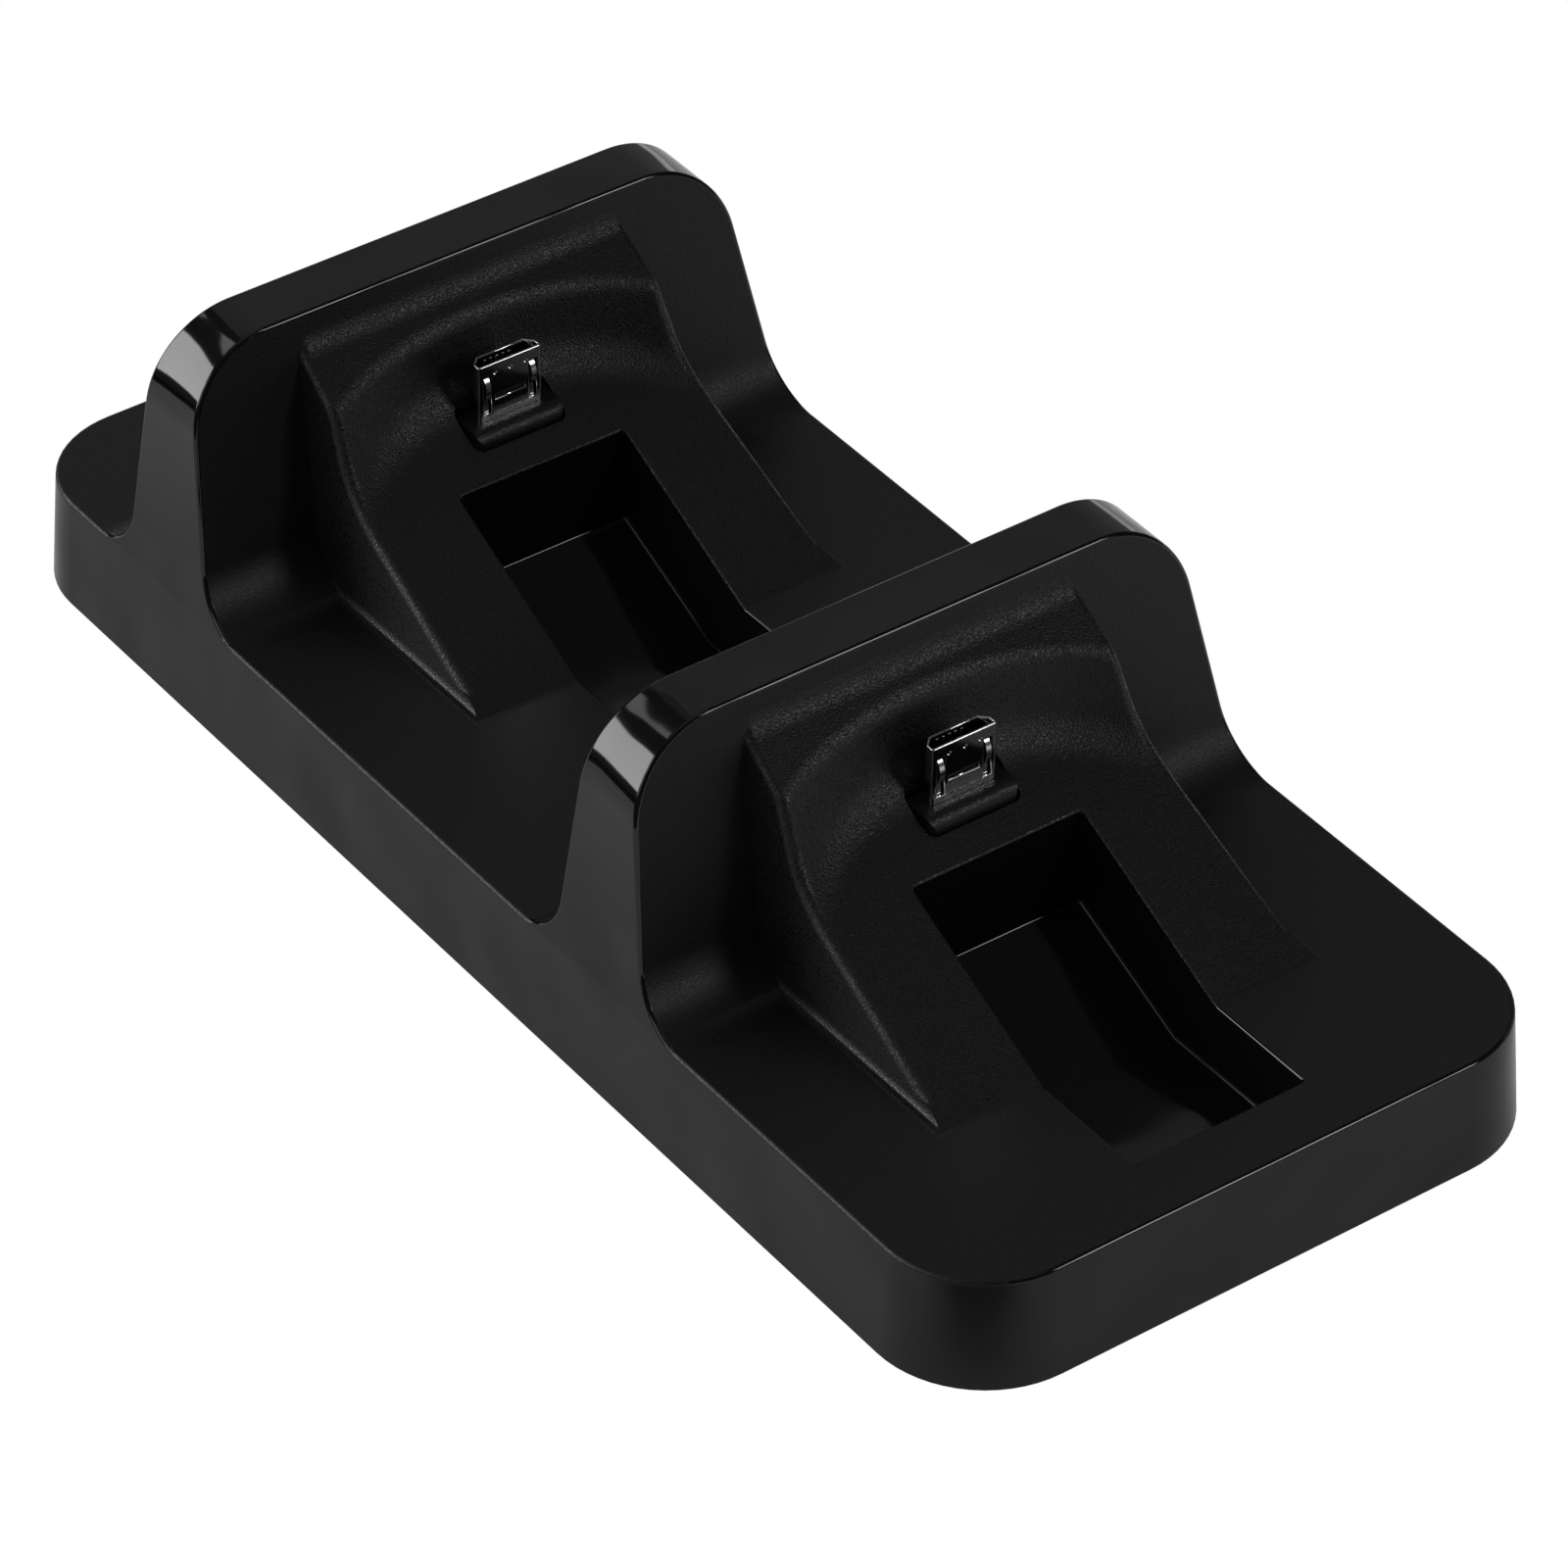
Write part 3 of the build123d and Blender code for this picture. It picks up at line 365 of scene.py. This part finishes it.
# Plugs: shells, latches and contacts with their edges rolled as the bent sheet's are.
# The other pieces keep their CAD shape and get their finish as they stand
def finishNodes():
    satin = {"grain": 0.18 * mm, "height": 0.04 * mm, "rough": 0.42, "uneven": 0.12, "level": 0.42}
    cover = {"grain": 0.2 * mm, "height": 0.014 * mm, "rough": 0.55, "uneven": 0.04, "level": 0.5}
    smoothMetal = 0.001 * mm  # depth of its unevenness
    metal = platedSteel()
    insulator = plainFinish("moulded nylon", "#070707", 0.5)  # deep black, a soft sheen
    laminate = plainFinish("green solder mask on laminate", "#14502c", 0.35)  # glossy deep green
    zinc = plainFinish("zinc plated steel", "#a9abae", 0.35, metallic=1.0)  # dull silver
    gold = plainFinish(  # pale warm glints
        "gold flashed brass",
        "#f3e8cf",
        0.3,
        metallic=1.0,
        unevenDepth=smoothMetal,
    )
    spring = plainFinish(  # silver, with softer reflections than the shell's
        "rolled spring steel",
        "#c9cacc",
        0.18,
        metallic=1.0,
        unevenDepth=smoothMetal,
    )
    finishes = {
        "plug_shell": metal,
        "inlet_shell": metal,
        "plug_holder": texturedPlastic("satin moulded ABS", "#0c0c0d", satin),  # black, half matt
        "plug_tongue": insulator,
        "inlet_tongue": insulator,
        "plug_contacts": gold,
        "inlet_contacts": gold,
        "plug_latches": spring,
        "rubber_foot": plainFinish("moulded rubber", "#101010", 0.7),  # dull black
        "bottom_cover": texturedPlastic("textured cover ABS", "#0f0f10", cover),  # even and matt
        "cover_screws": plainFinish("blackened steel", "#5a5b5d", 0.35, metallic=1.0),  # dark glints
        "holder_screws": zinc,
        "board_screws": zinc,
        "main_board": laminate,
        "plug_board": laminate,
        "charge_chips": plainFinish("moulded epoxy resin", "#141414", 0.6),  # matt black
        "capacitors": plainFinish("drawn aluminium", "#c4c6c8", 0.3, metallic=1.0),  # pale grey
        "resistors": plainFinish("coated ceramic", "#1b1b1e", 0.5),  # near black, a soft sheen
        "power_lead": plainFinish("red extruded PVC", "#8c1712", 0.45),  # waxy deep red
        "return_lead": plainFinish("black extruded PVC", "#0d0d0d", 0.45),  # waxy black
    }
    rolledEdges = {
        "plug_shell": {"edge": 0.11 * mm, "slot": "plated_steel"},
        "plug_latches": {"edge": 0.07 * mm, "slot": "spring_steel"},
        "plug_contacts": {"edge": 0.07 * mm, "slot": "contact_brass"},
    }
    for name, node in list(nodes.items()):
        if name == "upper_housing":
            continue
        key = next(k for k in finishes if name.startswith(k))
        if key in rolledEdges:
            softened(name, rolledEdges[key]["edge"], finishes[key])
            continue
        for slot in node.material_slots:
            slot.material = finishes[key]
    print("finishes set on", len(nodes) - 1, "nodes")


finishNodes()


# Floor: a pale sheet that glows, shadowless white to the camera. In the dock's polish it glows dimmer,
# with painted shade close to the dock and a painted shadow at its near corner, brighter further out, and dark
# past its left edge
def makeFloor():
    settings = {
        "size": 6.0,  # metres
        "height": -0.02 * mm,
        "seen": 1.0,  # brightness to the camera
        "dockHalfSize": (32.0 * mm, 73.0 * mm, 0),  # distances start at this outline
        "reach": 400 * mm,
        # The dim levels close to the dock are painted shade, seen only in the dock's polish
        "levels": ((0.0, 0.34), (0.05, 0.4), (0.1, 0.6), (0.62, 0.62)),  # share of the reach, level
        "leftEdge": -288 * mm,
        # A painted shadow of the dock off its near corner, seen only where its polish mirrors the floor
        "shadePlace": (-44 * mm, -88 * mm, 0),  # off the near corner
        "shadeRadius": 24 * mm,
        "shadeCore": 0.4,  # share of the radius that is shaded in full
        "shadeLevel": 0.35,
    }
    mesh = bpy.data.meshes.new("floor")
    half = settings["size"] / 2
    low = settings["height"]
    corners = [(-half, -half, low), (half, -half, low), (half, half, low), (-half, half, low)]
    mesh.from_pydata(corners, [], [(0, 1, 2, 3)])
    floor = bpy.data.objects.new("floor", mesh)
    bpy.context.scene.collection.objects.link(floor)
    material, tree, shader = newMaterial(
        "pale glowing sweep with painted shade",
        {
            "Base Color": linearColour("#000000"),
            "Roughness": 0.9,
            "Specular IOR Level": 0.0,
            "Emission Color": linearColour("#ffffff"),
        },
    )
    ray = addNode(tree, "ShaderNodeLightPath")
    place = addNode(tree, "ShaderNodeTexCoord")
    folded = addNode(
        tree,
        "ShaderNodeVectorMath",
        {"operation": "ABSOLUTE"},
        links={0: place.outputs["Object"]},
    )
    beyond = addNode(
        tree,
        "ShaderNodeVectorMath",
        {"operation": "SUBTRACT"},
        values={1: settings["dockHalfSize"]},
        links={0: folded.outputs["Vector"]},
    )
    outside = addNode(
        tree,
        "ShaderNodeVectorMath",
        {"operation": "MAXIMUM"},
        links={0: beyond.outputs["Vector"]},
    )
    apart = addNode(
        tree,
        "ShaderNodeVectorMath",
        {"operation": "LENGTH"},
        links={0: outside.outputs["Vector"]},
    )
    share = addNode(
        tree,
        "ShaderNodeMapRange",
        values={"From Max": settings["reach"]},
        links={"Value": apart.outputs["Value"]},
    )
    levels = addNode(tree, "ShaderNodeValToRGB", links={"Fac": share.outputs["Result"]})
    stops = levels.color_ramp.elements
    for at, level in settings["levels"][1:-1]:
        stops.new(at)
    for stop, (at, level) in zip(stops, settings["levels"]):
        stop.position = at
        stop.color = (level, level, level, 1)
    toShade = addNode(
        tree,
        "ShaderNodeVectorMath",
        {"operation": "DISTANCE"},
        values={1: settings["shadePlace"]},
        links={0: place.outputs["Object"]},
    )
    shade = addNode(
        tree,
        "ShaderNodeMapRange",
        {"interpolation_type": "SMOOTHSTEP"},
        values={
            "From Min": settings["shadeRadius"] * settings["shadeCore"],
            "From Max": settings["shadeRadius"],
            "To Min": settings["shadeLevel"],
        },
        links={"Value": toShade.outputs["Value"]},
    )
    axes = addNode(tree, "ShaderNodeSeparateXYZ", links={"Vector": place.outputs["Object"]})
    onTable = addNode(
        tree,
        "ShaderNodeMath",
        {"operation": "GREATER_THAN"},
        values={1: settings["leftEdge"]},
        links={0: axes.outputs["X"]},
    )
    shaded = addNode(
        tree,
        "ShaderNodeMath",
        {"operation": "MULTIPLY"},
        links={0: onTable.outputs["Value"], 1: shade.outputs["Result"]},
    )
    mirrored = addNode(
        tree,
        "ShaderNodeMath",
        {"operation": "MULTIPLY"},
        links={0: levels.outputs["Color"], 1: shaded.outputs["Value"]},
    )
    tone = addNode(
        tree,
        "ShaderNodeMapRange",
        values={"To Max": settings["seen"]},
        links={"Value": ray.outputs["Is Camera Ray"], "To Min": mirrored.outputs["Value"]},
    )
    tree.links.new(tone.outputs["Result"], shader.inputs["Emission Strength"])
    mesh.materials.append(material)
    print("floor made")


makeFloor()


# The direction from the dock towards a viewer or light at these angles, in degrees
def backVector(azimuth, elevation):
    turn = math.radians(azimuth)
    rise = math.radians(elevation)
    return Vector((math.sin(turn) * math.cos(rise), -math.cos(turn) * math.cos(rise), math.sin(rise)))


# Camera: long lens, from the front left and above
def makeCamera():
    settings = {
        "azimuth": -35.634,
        "elevation": 37.635,
        "distance": 678.69 * mm,
        "aimHeight": 15.8 * mm,
        "lens": 178.0,  # millimetres, as the sensor
        "sensor": 36.0,
        "shiftX": 0.0198,
        "shiftY": -0.0623,
        "nearest": 0.05,  # metres, as the next
        "furthest": 20.0,
    }
    data = bpy.data.cameras.new("camera")
    data.lens = settings["lens"]
    data.sensor_width = settings["sensor"]
    data.shift_x = settings["shiftX"]
    data.shift_y = settings["shiftY"]
    data.clip_start = settings["nearest"]
    data.clip_end = settings["furthest"]
    camera = bpy.data.objects.new("camera", data)
    bpy.context.scene.collection.objects.link(camera)
    back = backVector(settings["azimuth"], settings["elevation"])
    camera.location = Vector((0, 0, settings["aimHeight"])) + back * settings["distance"]
    camera.rotation_mode = "QUATERNION"
    camera.rotation_quaternion = (-back).to_track_quat("-Z", "Y")
    bpy.context.scene.camera = camera
    print("camera placed")


makeCamera()


# An area light of that radiance, sizes in metres, that faces the dock from a direction in degrees
def addSoftbox(name, azimuth, elevation, distance, width, height, radiance):
    data = bpy.data.lights.new(name, "AREA")
    data.shape = "RECTANGLE"
    data.size = width
    data.size_y = height
    data.energy = radiance * math.pi * width * height
    light = bpy.data.objects.new(name, data)
    bpy.context.scene.collection.objects.link(light)
    back = backVector(azimuth, elevation)
    light.location = back * distance
    light.rotation_mode = "QUATERNION"
    light.rotation_quaternion = (-back).to_track_quat("-Z", "Y")


# Studio: a dim surround with soft panels, each placed for the surfaces that mirror it
def makeStudio():
    settings = {
        "surround": 0.056,
        "panels": (
            # name, azimuth, elevation, distance, width, height, radiance
            ("overhead", 0, 89, 1.1, 0.8, 0.8, 0.19),
            ("behind right", 144.4, 38, 1.2, 0.9, 0.6, 0.175),
            ("behind right low", 144.4, 11, 1.2, 1.2, 0.54, 0.18),
            ("behind right horizon", 141, 3, 1.15, 0.9, 0.12, 0.9),
            ("behind high", 150, 62, 1.2, 0.5, 0.5, 0.1),
            ("front right", 32.8, 32, 1.2, 0.22, 0.44, 6.5),
            ("left", -97, 35, 1.2, 0.7, 0.6, 1.4),
            ("behind left", -137, 21, 1.2, 0.8, 0.62, 6.0),
            ("behind left high", -165, 48, 1.2, 0.35, 0.16, 1.5),
        ),
    }
    world = bpy.data.worlds.new("studio")
    bpy.context.scene.world = world
    world.use_nodes = True
    background = world.node_tree.nodes["Background"]
    background.inputs["Color"].default_value = linearColour("#ffffff")
    background.inputs["Strength"].default_value = settings["surround"]
    for panel in settings["panels"]:
        addSoftbox(*panel)
    bpy.context.scene.view_settings.view_transform = "Standard"
    print("studio made with", len(settings["panels"]), "panels")


makeStudio()
